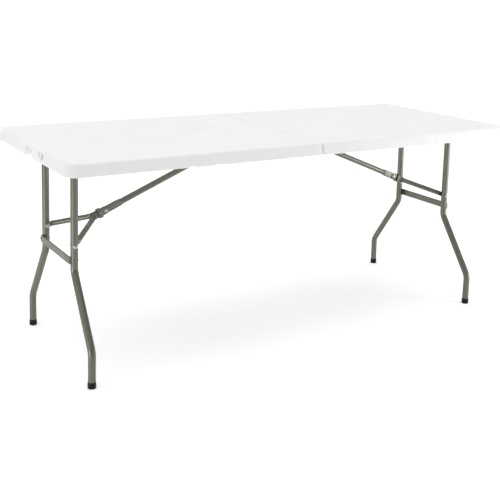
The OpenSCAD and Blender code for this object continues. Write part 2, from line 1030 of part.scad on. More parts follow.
// Keeper on the inner end wall of the other half, which the hook turns into
module latch_keeper() {
    inner_wall = half_x - rim_width;
    color(zinc)
        difference() {
            translate([inner_wall - keeper_size[0], -latch_y - keeper_size[1] / 2, rim_z + 3])
                cube(keeper_size);
            translate([inner_wall - keeper_size[0] + keeper_wall,
                       -latch_y - keeper_size[1] / 2 + keeper_cheek, rim_z + 2])
                cube([keeper_size[0], keeper_size[1] - 2 * keeper_cheek, keeper_size[2] - 4]);
        }
}

// ---- drawing ----

half(-1) moulded_top(true);  // left_top
half(-1) side_rail(-1);  // left_front_rail
half(-1) side_rail(1);  // left_rear_rail
half(-1) rail_screws();  // left_rail_screws
half(-1) pivot_bushes();  // left_pivot_bushes
half(-1) brace_bracket();  // left_brace_bracket
half(-1) bracket_screws();  // left_bracket_screws
half(-1) brace_pin();  // left_brace_pin
half(-1) hinge_leaves(-1);  // left_hinge_leaves
half(-1) leaf_screws();  // left_leaf_screws
half(-1) cross_tube();  // left_cross_tube
half(-1) pivot_pins();  // left_pivot_pins
half(-1) leg_tube(-1);  // left_front_leg
half(-1) leg_tube(1);  // left_rear_leg
half(-1) crossbar();  // left_crossbar
half(-1) crossbar_rivets();  // left_crossbar_rivets
half(-1) leg_bolts();  // left_leg_bolts
half(-1) foot_cap(-1);  // left_front_foot
half(-1) foot_cap(1);  // left_rear_foot
half(-1) upper_arm();  // left_upper_arm
half(-1) knee_rivet();  // left_knee_rivet
half(-1) link_arm(-1);  // left_front_link
half(-1) link_arm(1);  // left_rear_link
half(-1) link_nuts();  // left_link_nuts
half(-1) lock_ring();  // left_lock_ring
half(1) moulded_top(false);  // right_top
half(1) side_rail(-1);  // right_front_rail
half(1) side_rail(1);  // right_rear_rail
half(1) rail_screws();  // right_rail_screws
half(1) pivot_bushes();  // right_pivot_bushes
half(1) brace_bracket();  // right_brace_bracket
half(1) bracket_screws();  // right_bracket_screws
half(1) brace_pin();  // right_brace_pin
half(1) hinge_leaves(1);  // right_hinge_leaves
half(1) leaf_screws();  // right_leaf_screws
half(1) cross_tube();  // right_cross_tube
half(1) pivot_pins();  // right_pivot_pins
half(1) leg_tube(-1);  // right_front_leg
half(1) leg_tube(1);  // right_rear_leg
half(1) crossbar();  // right_crossbar
half(1) crossbar_rivets();  // right_crossbar_rivets
half(1) leg_bolts();  // right_leg_bolts
half(1) foot_cap(-1);  // right_front_foot
half(1) foot_cap(1);  // right_rear_foot
half(1) upper_arm();  // right_upper_arm
half(1) knee_rivet();  // right_knee_rivet
half(1) link_arm(-1);  // right_front_link
half(1) link_arm(1);  // right_rear_link
half(1) link_nuts();  // right_link_nuts
half(1) lock_ring();  // right_lock_ring
hinge_pins();
carry_handle();
handle_clips();
latch_knob();
latch_hook();
latch_keeper();
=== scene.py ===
"""Folding table: the looks. Lengths are in metres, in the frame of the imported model."""

import json
import math

import bmesh
import bpy
from mathutils import Matrix, Vector

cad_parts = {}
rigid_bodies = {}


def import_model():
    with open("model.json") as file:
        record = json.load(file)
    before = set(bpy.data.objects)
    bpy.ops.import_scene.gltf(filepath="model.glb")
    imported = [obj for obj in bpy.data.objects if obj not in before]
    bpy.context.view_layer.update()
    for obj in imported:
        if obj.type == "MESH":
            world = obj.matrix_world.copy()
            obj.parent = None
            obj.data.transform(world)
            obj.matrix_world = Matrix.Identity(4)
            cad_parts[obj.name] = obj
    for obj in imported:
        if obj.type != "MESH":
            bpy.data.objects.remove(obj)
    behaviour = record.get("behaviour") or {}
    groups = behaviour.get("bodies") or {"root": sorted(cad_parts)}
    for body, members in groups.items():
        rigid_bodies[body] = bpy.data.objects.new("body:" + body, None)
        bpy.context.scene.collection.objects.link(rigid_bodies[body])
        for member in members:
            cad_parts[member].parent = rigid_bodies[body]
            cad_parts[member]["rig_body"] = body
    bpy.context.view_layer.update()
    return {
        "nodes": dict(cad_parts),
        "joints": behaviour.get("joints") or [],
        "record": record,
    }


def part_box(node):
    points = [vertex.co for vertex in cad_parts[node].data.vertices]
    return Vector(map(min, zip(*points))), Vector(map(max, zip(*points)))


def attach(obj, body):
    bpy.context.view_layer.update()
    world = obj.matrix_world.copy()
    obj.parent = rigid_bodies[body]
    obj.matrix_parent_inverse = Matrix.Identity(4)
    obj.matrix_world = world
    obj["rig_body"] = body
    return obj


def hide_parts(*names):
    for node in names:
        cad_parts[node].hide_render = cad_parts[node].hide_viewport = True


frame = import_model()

MM = 0.001
JOINTS = {joint["name"]: joint for joint in frame["joints"]}
X_AXIS = Vector((1, 0, 0))
Y_AXIS = Vector((0, 1, 0))
Z_AXIS = Vector((0, 0, 1))

# Points round a tube, and the roundness of a round section (see ring_oval)
TUBE_SIDES = 40
TUBE_ROUND = 2

# ---- sizes taken from the frame ----

TOP_LOW, TOP_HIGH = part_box("left_top")
HALF_X = -TOP_LOW.x
HALF_Y = TOP_HIGH.y
SEAM_X = -TOP_HIGH.x
RIM_Z = TOP_LOW.z
TABLE_Z = TOP_HIGH.z
PANEL_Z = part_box("left_front_rail")[1].z
LEG_PIVOT = Vector(JOINTS["left_leg_fold"]["pos_m"])
ARM_PIVOT = Vector(JOINTS["left_arm_swing"]["pos_m"])
KNEE = Vector(JOINTS["left_knee_fold"]["pos_m"])
ARM_DIRECTION = (KNEE - ARM_PIVOT).normalized()
ARM_LENGTH = (KNEE - ARM_PIVOT).length
LEG_LEAN = math.pi / 2 - math.radians(JOINTS["left_leg_fold"]["range_deg"][1])
LEG_PLACE = Matrix.Translation(LEG_PIVOT) @ Matrix.Rotation(LEG_LEAN, 4, "Y")
ARM_UP = Vector((ARM_DIRECTION.z, 0, -ARM_DIRECTION.x))
RING_TRAVEL = JOINTS["left_ring_slide"]["range_m"][1]


# ---- materials ----

def new_material(name, color, roughness, metallic=0.0):
    """A Principled material. Its colour and roughness lie near the values that vary_color and
    vary_roughness spread round them."""
    material = bpy.data.materials.new(name)
    material.use_nodes = True
    shader = material.node_tree.nodes["Principled BSDF"]
    shader.inputs["Base Color"].default_value = (*color, 1)
    shader.inputs["Roughness"].default_value = roughness
    shader.inputs["Metallic"].default_value = metallic
    return material


def add_node(material, kind, **values):
    """Adds a node and sets its inputs by name."""
    node = material.node_tree.nodes.new(kind)
    for key, value in values.items():
        node.inputs[key.replace("_", " ")].default_value = value
    return node


def link(material, source, target):
    """Joins an output of a node to an input of another."""
    material.node_tree.links.new(source, target)


def object_noise(material, scale, detail=4.0, stretch=(1, 1, 1)):
    """Noise in the object's own coordinates. Scale is in cells per metre."""
    coords = add_node(material, "ShaderNodeTexCoord")
    mapping = add_node(material, "ShaderNodeMapping", Scale=stretch)
    noise = add_node(material, "ShaderNodeTexNoise", Scale=scale, Detail=detail)
    link(material, coords.outputs["Object"], mapping.inputs["Vector"])
    link(material, mapping.outputs["Vector"], noise.inputs["Vector"])
    return noise.outputs["Fac"]


def object_cells(material, scale):
    """Smooth rounded cells in the object's own coordinates, for a pebbled skin."""
    coords = add_node(material, "ShaderNodeTexCoord")
    cells = add_node(material, "ShaderNodeTexVoronoi", Scale=scale)
    cells.feature = "SMOOTH_F1"
    link(material, coords.outputs["Object"], cells.inputs["Vector"])
    return cells.outputs["Distance"]


def vary_color(material, factor, dark, light, low=0.35, high=0.65):
    """Mixes two close colours by a factor."""
    ramp = add_node(material, "ShaderNodeValToRGB")
    ramp.color_ramp.elements[0].position = low
    ramp.color_ramp.elements[0].color = (*dark, 1)
    ramp.color_ramp.elements[1].position = high
    ramp.color_ramp.elements[1].color = (*light, 1)
    link(material, factor, ramp.inputs["Fac"])
    shader = material.node_tree.nodes["Principled BSDF"]
    link(material, ramp.outputs["Color"], shader.inputs["Base Color"])


def vary_roughness(material, factor, low, high):
    """Spreads the roughness between two values by a factor."""
    spread = add_node(material, "ShaderNodeMapRange", From_Min=0.3, From_Max=0.7,
                      To_Min=low, To_Max=high)
    link(material, factor, spread.inputs["Value"])
    shader = material.node_tree.nodes["Principled BSDF"]
    link(material, spread.outputs["Result"], shader.inputs["Roughness"])


def add_bumps(material, *layers):
    """Stacks bump layers, each one (height, strength, depth in metres)."""
    below = None
    for height, strength, depth in layers:
        bump = add_node(material, "ShaderNodeBump", Strength=strength, Distance=depth)
        link(material, height, bump.inputs["Height"])
        if below is not None:
            link(material, below, bump.inputs["Normal"])
        below = bump.outputs["Normal"]
    shader = material.node_tree.nodes["Principled BSDF"]
    link(material, below, shader.inputs["Normal"])


def moulded_white():
    """Blow-moulded polyethylene: warm white with a fine pebbled skin and a soft flow pattern."""
    material = new_material("moulded_white", (0.84, 0.84, 0.83), 0.5)
    shader = material.node_tree.nodes["Principled BSDF"]
    shader.inputs["Specular IOR Level"].default_value = 0.42
    vary_color(material, object_noise(material, 7, 5), (0.835, 0.835, 0.828), (0.852, 0.852, 0.848))
    vary_roughness(material, object_noise(material, 60, 3), 0.44, 0.58)
    add_bumps(material, (object_cells(material, 520), 0.35, 0.00025),
              (object_noise(material, 18, 2), 0.12, 0.0012))
    return material


def powder_coat():
    """Grey-green powder coat on steel: orange peel, fine speckle, a little wear in its gloss."""
    material = new_material("powder_coat", (0.14, 0.139, 0.112), 0.45, metallic=0.6)
    vary_color(material, object_noise(material, 1500, 2), (0.12, 0.119, 0.095), (0.16, 0.159, 0.129))
    vary_roughness(material, object_noise(material, 35, 4), 0.34, 0.46)
    add_bumps(material, (object_noise(material, 620, 2), 0.22, 0.00018))
    return material


def bright_zinc():
    """Zinc-plated steel: bright, with fine turning marks and cloudy patches."""
    material = new_material("bright_zinc", (0.38, 0.39, 0.40), 0.2, metallic=1.0)
    vary_color(material, object_noise(material, 240, 5), (0.30, 0.31, 0.33), (0.46, 0.46, 0.45))
    vary_roughness(material, object_noise(material, 500, 3), 0.18, 0.36)
    add_bumps(material, (object_noise(material, 2600, 2, (1, 1, 6)), 0.12, 0.0001))
    return material


def black_cap():
    """Black moulded foot caps: fine grain, dusty towards grey where it scuffs."""
    material = new_material("black_cap", (0.007, 0.007, 0.007), 0.5)
    shader = material.node_tree.nodes["Principled BSDF"]
    shader.inputs["Specular IOR Level"].default_value = 0.2
    vary_color(material, object_noise(material, 160, 6), (0.004, 0.004, 0.004), (0.011, 0.011, 0.01))
    vary_roughness(material, object_noise(material, 90, 4), 0.38, 0.62)
    add_bumps(material, (object_noise(material, 1400, 3), 0.25, 0.00015))
    return material


def dark_nylon():
    """Dark nylon of the bushes, latch and handle: matt spark-eroded texture."""
    material = new_material("dark_nylon", (0.03, 0.03, 0.031), 0.45)
    vary_color(material, object_noise(material, 300, 4), (0.024, 0.024, 0.025), (0.042, 0.042, 0.043))
    vary_roughness(material, object_noise(material, 150, 3), 0.36, 0.55)
    add_bumps(material, (object_noise(material, 2000, 3), 0.3, 0.00012))
    return material


def white_trim():
    """White injection-moulded knob: smoother than the top, with a faint grain."""
    material = new_material("white_trim", (0.80, 0.80, 0.79), 0.36)
    vary_color(material, object_noise(material, 90, 3), (0.78, 0.78, 0.77), (0.82, 0.82, 0.815))
    vary_roughness(material, object_noise(material, 200, 3), 0.30, 0.44)
    add_bumps(material, (object_noise(material, 1800, 2), 0.15, 0.0001))
    return material


MATERIALS = {
    "moulded_top": moulded_white(),
    "powder_coat": powder_coat(),
    "zinc_hardware": bright_zinc(),
    "foot_cap": black_cap(),
    "dark_nylon": dark_nylon(),
    "white_trim": white_trim(),
}
SLOT_OF = {part["node"]: part["material_slot"] for part in frame["record"]["subparts"]}


# ---- mesh building ----

def ring_circle(radius, count=TUBE_SIDES):
    """Points of a circle in the plane of a section."""
    return [Vector((radius * math.cos(2 * math.pi * i / count),
                    radius * math.sin(2 * math.pi * i / count))) for i in range(count)]


def ring_oval(width, height, roundness, count=TUBE_SIDES):
    """Points of a superellipse: roundness 2 is an ellipse, and more is squarer."""
    points = []
    for i in range(count):
        angle = 2 * math.pi * i / count
        c, s = math.cos(angle), math.sin(angle)
        points.append(Vector((width / 2 * math.copysign(abs(c) ** (2 / roundness), c),
                              height / 2 * math.copysign(abs(s) ** (2 / roundness), s))))
    return points


def ease(t):
    """Smooth step from 0 to 1."""
    t = min(max(t, 0), 1)
    return t * t * (3 - 2 * t)


def place_ring(section, origin, across, up):
    """Puts a flat section in space, by the directions of its two axes."""
    return [origin + across * p.x + up * p.y for p in section]


def loft(bm, rings):
    """Joins rings of equal count with quads and closes the ends."""
    loops = [[bm.verts.new(p) for p in ring] for ring in rings]
    count = len(loops[0])
    for low, high in zip(loops, loops[1:]):
        for i in range(count):
            j = (i + 1) % count
            bm.faces.new((low[i], low[j], high[j], high[i]))
    bm.faces.new(list(reversed(loops[0])))
    bm.faces.new(loops[-1])


def sweep(bm, stations, up, place=Matrix.Identity(4)):
    """Sweeps an oval section. A station is (centre, direction, thickness, height, roundness),
    and the height runs along up."""
    rings = []
    for centre, direction, thickness, height, roundness in stations:
        normal = up.cross(direction).normalized()
        section = ring_oval(thickness, height, roundness)
        rings.append([place @ p for p in place_ring(section, centre, normal, up)])
    loft(bm, rings)


def lathe(bm, profile, place, count=TUBE_SIDES):
    """Turns a profile of (radius, height) points about the Z axis of a placing matrix."""
    rings = []
    for radius, height in profile:
        radius = max(radius, 1e-6)
        rings.append([place @ Vector((p.x, p.y, height)) for p in ring_circle(radius, count)])
    loft(bm, rings)


def add_box(bm, low, high):
    """An axis-aligned box by its corners."""
    size = Vector(high) - Vector(low)
    middle = (Vector(high) + Vector(low)) / 2
    matrix = Matrix.Translation(middle) @ Matrix.Diagonal((*size, 1))
    bmesh.ops.create_cube(bm, size=1, matrix=matrix)


def to_object(name, bm, material, sharp=38):
    """Turns a bmesh into a shaded object of one material."""
    bmesh.ops.remove_doubles(bm, verts=bm.verts, dist=1e-6)
    bmesh.ops.recalc_face_normals(bm, faces=bm.faces)
    mesh = bpy.data.meshes.new(name)
    bm.to_mesh(mesh)
    bm.free()
    mesh.materials.append(material)
    mesh.shade_smooth()
    mesh.set_sharp_from_angle(angle=math.radians(sharp))
    piece = bpy.data.objects.new(name, mesh)
    bpy.context.scene.collection.objects.link(piece)
    return piece


def apply_modifiers(piece):
    """Replaces the mesh of a piece by its modified mesh."""
    depsgraph = bpy.context.evaluated_depsgraph_get()
    baked = bpy.data.meshes.new_from_object(piece.evaluated_get(depsgraph))
    piece.modifiers.clear()
    piece.data = baked


def carve(piece, cutter_bm):
    """Cuts the volumes of a bmesh out of a piece."""
    cutter = to_object("cutter", cutter_bm, MATERIALS["moulded_top"])
    boolean = piece.modifiers.new("carve", "BOOLEAN")
    boolean.operation = "DIFFERENCE"
    boolean.solver = "EXACT"
    boolean.object = cutter
    apply_modifiers(piece)
    bpy.data.objects.remove(cutter)


def soften(piece, width, sharp=30):
    """Rounds the sharp edges of a piece and evens its shading."""
    weld = piece.modifiers.new("weld", "WELD")
    weld.merge_threshold = 1e-5
    bevel = piece.modifiers.new("bevel", "BEVEL")
    bevel.width = width
    bevel.segments = 3
    bevel.limit_method = "ANGLE"
    bevel.angle_limit = math.radians(sharp)
    weigh_normals(piece)


def weigh_normals(piece):
    """Lets the large faces of a piece lead its shading."""
    normals = piece.modifiers.new("normals", "WEIGHTED_NORMAL")
    normals.keep_sharp = True


def mirrored(piece, name):
    """A copy of a piece on the other side of the seam, its shading worked out afresh."""
    mesh = piece.data.copy()
    weighted = mesh.has_custom_normals
    if weighted:
        mesh.attributes.remove(mesh.attributes["custom_normal"])
    mesh.transform(Matrix.Diagonal((-1, 1, 1, 1)))
    mesh.flip_normals()
    copy = bpy.data.objects.new(name, mesh)
    bpy.context.scene.collection.objects.link(copy)
    if weighted:
        weigh_normals(copy)
        apply_modifiers(copy)
    return copy


def install(piece, node):
    """The piece stands for a CAD node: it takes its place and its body."""
    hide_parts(node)
    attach(piece, frame["nodes"][node]["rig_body"])


def on_both_halves(part, build):
    """Builds a piece for the left half and mirrors it to the right."""
    left = build(f"left_{part}_shape")
    right = mirrored(left, f"right_{part}_shape")
    install(left, f"left_{part}")
    install(right, f"right_{part}")


# ---- moulded tops ----

EDGE_INSET = 16 * MM
CORNER_RADIUS = 45 * MM
SEAM_CORNER_RADIUS = 9 * MM
LEAST_RADIUS = 4 * MM
RIM_WIDTH = 26 * MM
RIM_INNER_ROUND = 2 * MM
RIM_OUTER_ROUND = 2.2 * MM
EDGE_ROUND = 9 * MM
SEAM_INSET = 4 * MM
DRAFT_SHARE = 0.45
PIT_MARGIN_X = 120 * MM
PIT_MARGIN_Y = 110 * MM
PIT_MOUTH = 15 * MM
PIT_DEPTH = 8.4 * MM
PIT_COLUMNS = 7
PIT_ROWS = 6
CORNER_STEPS = 14


def quarter(centre, radius, start, steps):
    """Quarter circle in plan, counted in degrees from its start."""
    points = []
    for i in range(steps + 1):
        angle = math.radians(start + 90 * i / steps)
        points.append(Vector((centre[0] + radius * math.cos(angle),
                              centre[1] + radius * math.sin(angle))))
    return points


def half_outline(inset, at_seam):
    """Plan of one half, inset on its three outer sides and, apart, at the seam."""
    r_out = max(CORNER_RADIUS - inset, LEAST_RADIUS)
    r_seam = SEAM_CORNER_RADIUS
    outer = -HALF_X + inset + r_out
    outer_y = HALF_Y - inset - r_out
    inner = -SEAM_X - at_seam - r_seam
    inner_y = HALF_Y - inset - r_seam
    return (quarter((inner, inner_y), r_seam, 0, CORNER_STEPS)
            + quarter((outer, outer_y), r_out, 90, CORNER_STEPS)
            + quarter((outer, -outer_y), r_out, 180, CORNER_STEPS)
            + quarter((inner, -inner_y), r_seam, 270, CORNER_STEPS))


def top_profile():
    """Levels of the moulding from the panel's underside, round the rim, to the table surface:
    (inset, inset at the seam, height)."""
    drafted = EDGE_INSET * DRAFT_SHARE
    levels = [(RIM_WIDTH + 3 * MM, RIM_WIDTH + 1 * MM, PANEL_Z)]
    for i in range(2):
        levels.append((RIM_WIDTH + (1.2 - 0.6 * i) * MM, RIM_WIDTH - (0.8 + 0.6 * i) * MM,
                       PANEL_Z - (0.6 + 1.4 * i) * MM))
    levels.append((RIM_WIDTH, RIM_WIDTH - RIM_INNER_ROUND, RIM_Z + RIM_INNER_ROUND))
    for angle in (math.pi / 4, math.pi / 2):
        inset = RIM_INNER_ROUND * (1 - math.cos(angle))
        levels.append((RIM_WIDTH - inset, RIM_WIDTH - RIM_INNER_ROUND - inset,
                       RIM_Z + RIM_INNER_ROUND * (1 - math.sin(angle))))
    for angle in (0, math.pi / 6, math.pi / 3, math.pi / 2):
        inset = RIM_OUTER_ROUND * (1 - math.sin(angle))
        levels.append((inset, 0.6 * MM + inset, RIM_Z + RIM_OUTER_ROUND * (1 - math.cos(angle))))
    for i in range(9):
        angle = math.pi / 2 * i / 8
        levels.append((drafted + (EDGE_INSET - drafted) * (1 - math.cos(angle)),
                       SEAM_INSET * (1 - math.cos(angle)), TABLE_Z - EDGE_ROUND * (1 - math.sin(angle))))
    return levels


def pit_places():
    """Centres of the tack-off pits in the panel's underside."""
    span_x = HALF_X - 2 * RIM_WIDTH - PIT_MARGIN_X
    span_y = 2 * HALF_Y - 2 * RIM_WIDTH - PIT_MARGIN_Y
    for i in range(PIT_COLUMNS):
        for j in range(PIT_ROWS):
            yield (-HALF_X / 2 + span_x * (i / (PIT_COLUMNS - 1) - 0.5),
                   span_y * (j / (PIT_ROWS - 1) - 0.5))


def add_pits(bm):
    """Cutters for the pits: rounded lip, drafted wall, dished end."""
    profile = [(PIT_MOUTH + 3 * MM, -1.2 * MM), (PIT_MOUTH + 1.6 * MM, 0),
               (PIT_MOUTH + 0.3 * MM, 0.7 * MM), (PIT_MOUTH - 0.6 * MM, 2 * MM),
               (PIT_MOUTH * 0.66, PIT_DEPTH - 2.2 * MM), (PIT_MOUTH * 0.56, PIT_DEPTH - 0.6 * MM),
               (PIT_MOUTH * 0.4, PIT_DEPTH)]
    for x, y in pit_places():
        lathe(bm, profile, Matrix.Translation((x, y, PANEL_Z)), count=24)


HAND_HOLD_WIDTH = 78 * MM
HAND_HOLD_HEIGHT = 28 * MM
HAND_HOLD_R = 6 * MM
HAND_HOLD_DRAFT = 3 * MM
CUT_SPARE = 2 * MM
NOTCH_WIDTH = 28 * MM
NOTCH_DEPTH = 3.4 * MM
HANDLE_SPACING = 95 * MM


def add_hand_hold(bm):
    """Cutter for the hand-hold in the end rim: rounded upper corners, drafted sides."""
    half = HAND_HOLD_WIDTH / 2
    outline = [(-half, -CUT_SPARE), (half, -CUT_SPARE)]
    for side in (1, -1):
        for i in range(7):
            angle = math.pi / 2 * (i if side > 0 else 6 - i) / 6
            inset = HAND_HOLD_DRAFT + HAND_HOLD_R * (1 - math.cos(angle))
            outline.append((side * (half - inset),
                            HAND_HOLD_HEIGHT - HAND_HOLD_R * (1 - math.sin(angle))))
    rings = [[Vector((x, y, RIM_Z + z)) for y, z in outline]
             for x in (-HALF_X - CUT_SPARE, -HALF_X + RIM_WIDTH + 6 * MM)]
    loft(bm, rings)


def add_strap_notches(bm):
    """Cutters for the two notches in the front rim."""
    for side in (-1, 1):
        middle = -HALF_X / 2 + side * HANDLE_SPACING / 2
        add_box(bm, (middle - NOTCH_WIDTH / 2, -HALF_Y - CUT_SPARE, RIM_Z - CUT_SPARE),
                (middle + NOTCH_WIDTH / 2, -HALF_Y + RIM_WIDTH + CUT_SPARE, RIM_Z + NOTCH_DEPTH))


RING_POCKET = 38 * MM
CUP_R = 11 * MM
CUP_STRAIGHT = 36 * MM
CUP_FLOOR = 9 * MM


def add_ring_pocket(bm):
    """Cutter for the shallow pocket that the lock ring lies in when the frame is folded."""
    low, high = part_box("left_lock_ring")
    along = ((low + high) / 2 - ARM_PIVOT).dot(ARM_DIRECTION) - RING_TRAVEL
    middle = ARM_PIVOT.x - along
    rings = []
    for grow, z in ((2, -1), (1.2, 0), (0.3, 0.6), (-0.6, 2.6), (-1.6, 3.4)):
        side = RING_POCKET + 2 * grow * MM
        plan = ring_oval(side, side, roundness=7, count=32)
        rings.append([Vector((middle + p.x, p.y, PANEL_Z + z * MM)) for p in plan])
    loft(bm, rings)


def add_latch_cup(bm):
    """Cutter for the oval cup of the latch, drafted towards its floor."""
    knob_low, knob_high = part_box("latch_knob")
    centre = (knob_low + knob_high) / 2 + Vector((0, 0, 1 * MM))
    rings = []
    for depth, grow in ((-CUT_SPARE, 2.6), (2.5 * MM, 1.2), (3.6 * MM, 0.4),
                        (CUP_FLOOR - 1 * MM, -0.4), (CUP_FLOOR, -1.4)):
        radius = CUP_R + grow * MM
        points = []
        for i in range(TUBE_SIDES):
            angle = 2 * math.pi * (i + 0.5) / TUBE_SIDES
            shift = math.copysign(CUP_STRAIGHT / 2, math.cos(angle))
            points.append(Vector((-HALF_X + depth, centre.y + shift + radius * math.cos(angle),
                                  centre.z + radius * math.sin(angle))))
        rings.append(points)
    loft(bm, rings)


def moulded_top(name, with_latch):
    """One half of the top, carved from a lofted shell."""
    bm = bmesh.new()
    rings = [[Vector((p.x, p.y, z)) for p in half_outline(inset, at_seam)]
             for inset, at_seam, z in top_profile()]
    loft(bm, rings)
    piece = to_object(name, bm, MATERIALS["moulded_top"])
    cutters = bmesh.new()
    add_pits(cutters)
    add_hand_hold(cutters)
    add_strap_notches(cutters)
    add_ring_pocket(cutters)
    if with_latch:
        add_latch_cup(cutters)
    carve(piece, cutters)
    piece.data.shade_smooth()
    piece.data.set_sharp_from_angle(angle=math.radians(42))
    soften(piece, 0.8 * MM, sharp=55)
    apply_modifiers(piece)
    return piece


def build_tops():
    """The left top with the latch's cup, and a plain one mirrored to the right."""
    left = moulded_top("left_top_shape", True)
    right = mirrored(moulded_top("plain_top", False), "right_top_shape")
    bpy.data.objects.remove(bpy.data.objects["plain_top"])
    install(left, "left_top")
    install(right, "right_top")


build_tops()


# ---- leg frames ----

LEG_TUBE_D = 25.4 * MM
UPPER_BEND_Z = 346 * MM
LOWER_BEND_Z = 121 * MM
BEND_RADIUS = 52 * MM
LEG_UPPER_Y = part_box("left_rear_leg")[0].y + LEG_TUBE_D / 2
LEG_FOOT_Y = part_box("left_rear_leg")[1].y - LEG_TUBE_D / 2
LEG_TOP_Z = -5 * MM
STRAIGHT_STEPS = 4
BEND_STEPS = 14
BEND_FLATTENING = 0.035
FOOT_D = 28 * MM


def leg_path():
    """Middle line of a leg in the frame's own plane: (place, direction) from top to foot."""
    upper = UPPER_BEND_Z - LEG_PIVOT.z
    lower = LOWER_BEND_Z - LEG_PIVOT.z
    floor = -LEG_PIVOT.z / math.cos(LEG_LEAN)
    splay = math.atan((LEG_FOOT_Y - LEG_UPPER_Y) / (upper - lower))
    cut = BEND_RADIUS * math.tan(splay / 2)
    path = []
    for i in range(STRAIGHT_STEPS):
        t = i / STRAIGHT_STEPS
        path.append((Vector((0, LEG_UPPER_Y, LEG_TOP_Z * (1 - t) + (upper + cut) * t)), 0.0))
    for i in range(BEND_STEPS + 1):
        angle = splay * i / BEND_STEPS
        path.append((Vector((0, LEG_UPPER_Y + BEND_RADIUS * (1 - math.cos(angle)),
                             upper + cut - BEND_RADIUS * math.sin(angle))), angle))
    for i in range(BEND_STEPS + 1):
        angle = splay * (1 - i / BEND_STEPS)
        path.append((Vector((0, LEG_FOOT_Y - BEND_RADIUS * (1 - math.cos(angle)),
                             lower - cut + BEND_RADIUS * math.sin(angle))), angle))
    path.append((Vector((0, LEG_FOOT_Y, floor + 5 * MM)), 0.0))
    return [(place, Vector((0, math.sin(angle), -math.cos(angle)))) for place, angle in path]


def flattening(bend_share):
    """How much of its width a bent tube loses at a share of the way round its bend."""
    return BEND_FLATTENING * math.sin(math.pi * min(max(bend_share, 0), 1))


def leg_shape(side):
    """A bent leg tube: slightly oval through its bends, with a rolled-in upper end."""
    def build(name):
        bm = bmesh.new()
        path = leg_path()
        top, down = path[0]
        path[0] = (top + down * 2 * MM, down)
        stations = []
        for drop, shrink in ((-0.2, 3), (0.8, 0.6)):
            width = LEG_TUBE_D - shrink * MM
            stations.append((top + down * drop * MM, down, width, width, TUBE_ROUND))
        second_bend = STRAIGHT_STEPS + BEND_STEPS + 1
        for index, (place, direction) in enumerate(path):
            start = STRAIGHT_STEPS if index < second_bend else second_bend
            oval = flattening((index - start) / BEND_STEPS)
            stations.append((place, direction, LEG_TUBE_D * (1 - oval), LEG_TUBE_D * (1 + oval / 2),
                             TUBE_ROUND))
        sweep(bm, stations, X_AXIS, LEG_PLACE @ Matrix.Diagonal((1, side, 1, 1)))
        return to_object(name, bm, MATERIALS["powder_coat"])
    return build


def foot_shape(side):
    """A black cap: rounded sole, a moulded band, and a lip that grips the tube."""
    def build(name):
        bm = bmesh.new()
        sole = -LEG_PIVOT.z / math.cos(LEG_LEAN)
        outer = [(3, -2), (0.6, 0.6), (0.15, 2.2), (0, 4.5), (0, 8.6), (0.5, 9.1), (0.5, 10.3),
                 (0, 10.8), (0.1, 18.2), (0.35, 20.4), (0.9, 21.6)]
        lip = [(-0.15, 22), (0.6, 21.4), (0.6, 12)]
        profile = [(0, outer[0][1] * MM)]
        profile += [(FOOT_D / 2 - inset * MM, z * MM) for inset, z in outer]
        profile += [(LEG_TUBE_D / 2 - inset * MM, z * MM) for inset, z in lip]
        profile.append((0, lip[-1][1] * MM))
        lathe(bm, profile, LEG_PLACE @ Matrix.Translation((0, side * LEG_FOOT_Y, sole)))
        for vert in bm.verts:
            vert.co.z = max(vert.co.z, 0)
        return to_object(name, bm, MATERIALS["foot_cap"])
    return build


CROSSBAR_HEIGHT = 27 * MM
CROSSBAR_THICK = 6 * MM
# Shares of the bar's half length: where it starts to flatten, and where its end starts to round
FLAT_FROM = 0.80
FLAT_BLEND = 0.10
TIP_FROM = 0.955


def crossbar_shape(name):
    """A flat-oval tube across the outer side of the legs, pressed flat where it is riveted."""
    bm = bmesh.new()
    low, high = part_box("left_crossbar")
    rivet = islands("left_crossbar_rivets")[0]
    height = (rivet[0].z + rivet[1].z) / 2
    local_z = (LEG_PLACE.inverted() @ Vector(((low.x + high.x) / 2, 0, height))).z
    half = (0.4, 0.80, 0.84, 0.90, 0.96, 0.985, 1)
    stations = []
    for share in [-s for s in reversed(half)] + [0, *half]:
        flat = ease((abs(share) - FLAT_FROM) / FLAT_BLEND)
        tip = ease((abs(share) - TIP_FROM) / (1 - TIP_FROM))
        thick = CROSSBAR_THICK - 1.6 * MM * flat
        middle_x = -LEG_TUBE_D / 2 - thick / 2 - 0.1 * MM
        stations.append((Vector((middle_x, high.y * share, local_z)), Y_AXIS, thick,
                         CROSSBAR_HEIGHT - (0.8 - 0.8 * flat + 5 * tip) * MM, 5 + flat))
    sweep(bm, stations, Z_AXIS, LEG_PLACE)
    return to_object(name, bm, MATERIALS["powder_coat"])


def islands(node):
    """Boxes of the separate solids in a CAD node, as (lowest corner, highest corner)."""
    bm = bmesh.new()
    bm.from_mesh(frame["nodes"][node].data)
    bmesh.ops.remove_doubles(bm, verts=bm.verts, dist=1e-5)
    unseen = set(bm.verts)
    boxes = []
    while unseen:
        group = [unseen.pop()]
        points = []
        while group:
            vert = group.pop()
            points.append(vert.co.copy())
            for edge in vert.link_edges:
                other = edge.other_vert(vert)
                if other in unseen:
                    unseen.remove(other)
                    group.append(other)
        boxes.append((Vector((min(p.x for p in points), min(p.y for p in points),
                              min(p.z for p in points))),
                      Vector((max(p.x for p in points), max(p.y for p in points),
                              max(p.z for p in points)))))
    bm.free()
    return sorted(boxes, key=lambda box: tuple(box[0]))


# ---- braces ----

